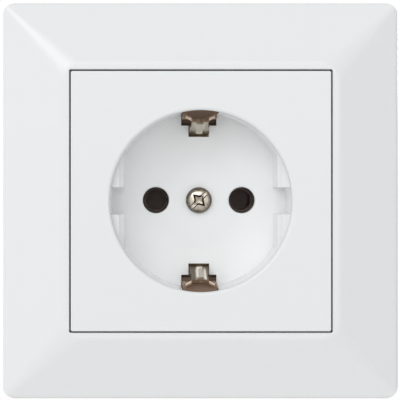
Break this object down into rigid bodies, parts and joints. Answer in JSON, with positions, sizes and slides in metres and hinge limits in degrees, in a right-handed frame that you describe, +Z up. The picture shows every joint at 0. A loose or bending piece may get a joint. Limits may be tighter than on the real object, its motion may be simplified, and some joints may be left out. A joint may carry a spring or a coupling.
{
  "type": "wall socket",
  "caption": "Flush earthed wall socket with a round recess, side guide blocks, two pin holes, earth springs top and bottom, a square centre plate and a sloped cover frame.",
  "frame": {"origin": "centre of the cover frame, on the wall surface that the support ring lies on", "axes": "as installed: -Y out of the wall towards the room, +Z up, +X to the right as seen from the room"},
  "size_m": [0.0848, 0.0425, 0.0848],
  "materials": {
    "white_plastic": "gloss white moulding",
    "dark_plastic": "dark brown insulating moulding",
    "grey_plastic": "dark grey rear cover",
    "spring_metal": "nickel-plated spring strip",
    "contact_brass": "bare brass contact",
    "screw_nickel": "nickel-plated screw",
    "ring_steel": "zinc-plated pressed steel",
    "claw_steel": "passivated steel claw"
  },
  "bodies": {
    "housing": {"cover_frame": "white_plastic", "centre_plate": "white_plastic", "centre_screw": "screw_nickel", "centre_nut": "ring_steel", "earth_bracket": "spring_metal", "line_contact": "contact_brass", "neutral_contact": "contact_brass", "socket_base": "dark_plastic", "rear_cover": "grey_plastic", "support_ring": "ring_steel", "line_clamp": "ring_steel", "neutral_clamp": "ring_steel", "earth_clamp": "ring_steel", "line_terminal_screw": "screw_nickel", "neutral_terminal_screw": "screw_nickel", "earth_terminal_screw": "screw_nickel", "base_rivets": "contact_brass"},
    "left_claw_screw": {"left_claw_screw": "screw_nickel"},
    "right_claw_screw": {"right_claw_screw": "screw_nickel"},
    "left_claw": {"left_claw": "claw_steel"},
    "right_claw": {"right_claw": "claw_steel"}
  },
  "joints": [
    {"name": "left_claw_swing", "type": "hinge", "parent": "housing", "child": "left_claw_screw", "pos_m": [-0.024, -0.0005, 0], "axis": [0, 0, 1], "range_deg": [0, 7]},
    {"name": "left_claw_travel", "type": "slide", "parent": "left_claw_screw", "child": "left_claw", "axis": [0, -1, 0], "range_m": [0, 0.006]},
    {"name": "right_claw_swing", "type": "hinge", "parent": "housing", "child": "right_claw_screw", "pos_m": [0.024, -0.0005, 0], "axis": [0, 0, -1], "range_deg": [0, 7]},
    {"name": "right_claw_travel", "type": "slide", "parent": "right_claw_screw", "child": "right_claw", "axis": [0, -1, 0], "range_m": [0, 0.006]}
  ],
  "couplings": [
    {"joint": "left_claw_travel", "follows": "left_claw_swing", "m_per_rad": 0.049106},
    {"joint": "right_claw_travel", "follows": "right_claw_swing", "m_per_rad": 0.049106}
  ]
}
